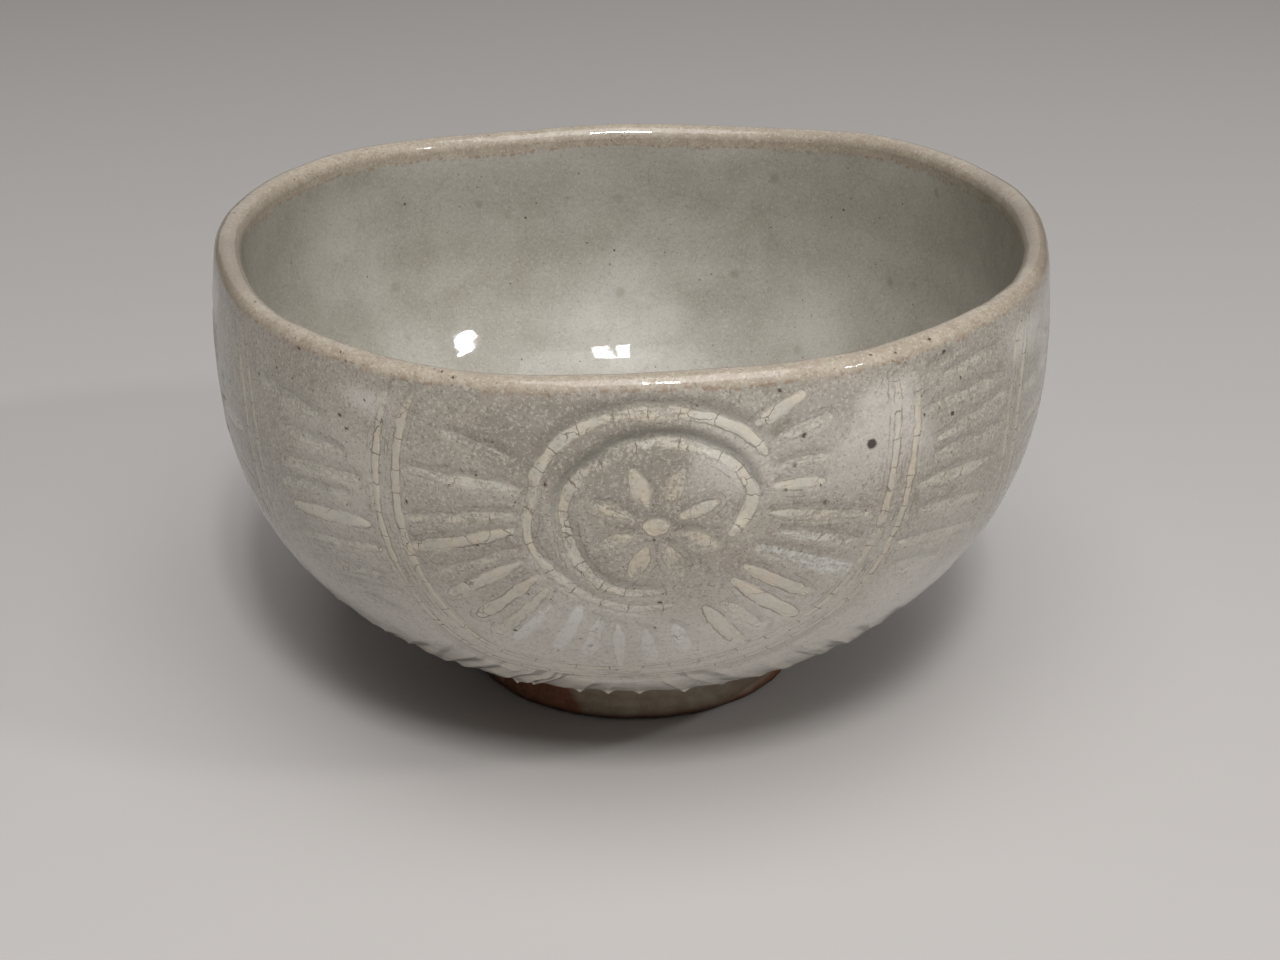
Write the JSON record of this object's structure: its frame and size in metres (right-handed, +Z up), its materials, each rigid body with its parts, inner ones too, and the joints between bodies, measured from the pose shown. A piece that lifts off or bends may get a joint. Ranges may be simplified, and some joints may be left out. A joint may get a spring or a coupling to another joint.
{
  "type": "tea bowl",
  "caption": "Deep round-bellied stoneware bowl for whisked tea, on a low trimmed foot ring, with white slip roundels and radiating strokes inlaid in its outside.",
  "frame": {"origin": "on the table under the foot ring, below the middle of the bowl's overall width and depth", "axes": "+Z up out of the mouth, -Y towards the front roundel, +X to the right of it"},
  "size_m": [0.1268, 0.1296, 0.0734],
  "materials": {
    "glazed_stoneware": "grey stoneware under a translucent, finely crackled grey-green glaze, glossy",
    "white_slip": "cream-white slip inlay under the same glaze, with fine cracks",
    "bare_clay": "fired clay, partly bare and red-brown, partly thinly glazed, matt"
  },
  "bodies": {
    "root": {"bowl_body": "glazed_stoneware", "foot_ring": "bare_clay", "front_medallion_outer_ring": "white_slip", "front_medallion_inner_ring": "white_slip", "front_circle_outer_line": "white_slip", "front_circle_inner_line": "white_slip", "right_medallion_outer_ring": "white_slip", "right_medallion_inner_ring": "white_slip", "right_circle_outer_line": "white_slip", "right_circle_inner_line": "white_slip", "back_medallion_outer_ring": "white_slip", "back_medallion_inner_ring": "white_slip", "back_circle_outer_line": "white_slip", "back_circle_inner_line": "white_slip", "left_medallion_outer_ring": "white_slip", "left_medallion_inner_ring": "white_slip", "left_circle_outer_line": "white_slip", "left_circle_inner_line": "white_slip", "flower_centre": "white_slip", "flower_petal_1": "white_slip", "flower_petal_2": "white_slip", "flower_petal_3": "white_slip", "flower_petal_4": "white_slip", "flower_petal_5": "white_slip", "flower_petal_6": "white_slip", "flower_petal_7": "white_slip", "flower_petal_8": "white_slip", "ray_1": "white_slip", "ray_2": "white_slip", "ray_3": "white_slip", "ray_4": "white_slip", "ray_5": "white_slip", "ray_6": "white_slip", "ray_7": "white_slip", "ray_8": "white_slip", "ray_9": "white_slip", "ray_10": "white_slip", "ray_11": "white_slip", "ray_12": "white_slip", "ray_13": "white_slip", "ray_14": "white_slip", "ray_15": "white_slip", "ray_16": "white_slip", "ray_17": "white_slip", "ray_18": "white_slip", "ray_19": "white_slip", "ray_20": "white_slip", "ray_21": "white_slip", "ray_22": "white_slip", "ray_23": "white_slip", "ray_24": "white_slip", "ray_25": "white_slip", "left_column_stroke_1": "white_slip", "left_column_stroke_2": "white_slip", "left_column_stroke_3": "white_slip", "left_column_stroke_4": "white_slip", "right_column_stroke_1": "white_slip", "right_column_stroke_2": "white_slip", "right_column_stroke_3": "white_slip", "right_column_stroke_4": "white_slip"}
  },
  "joints": []
}
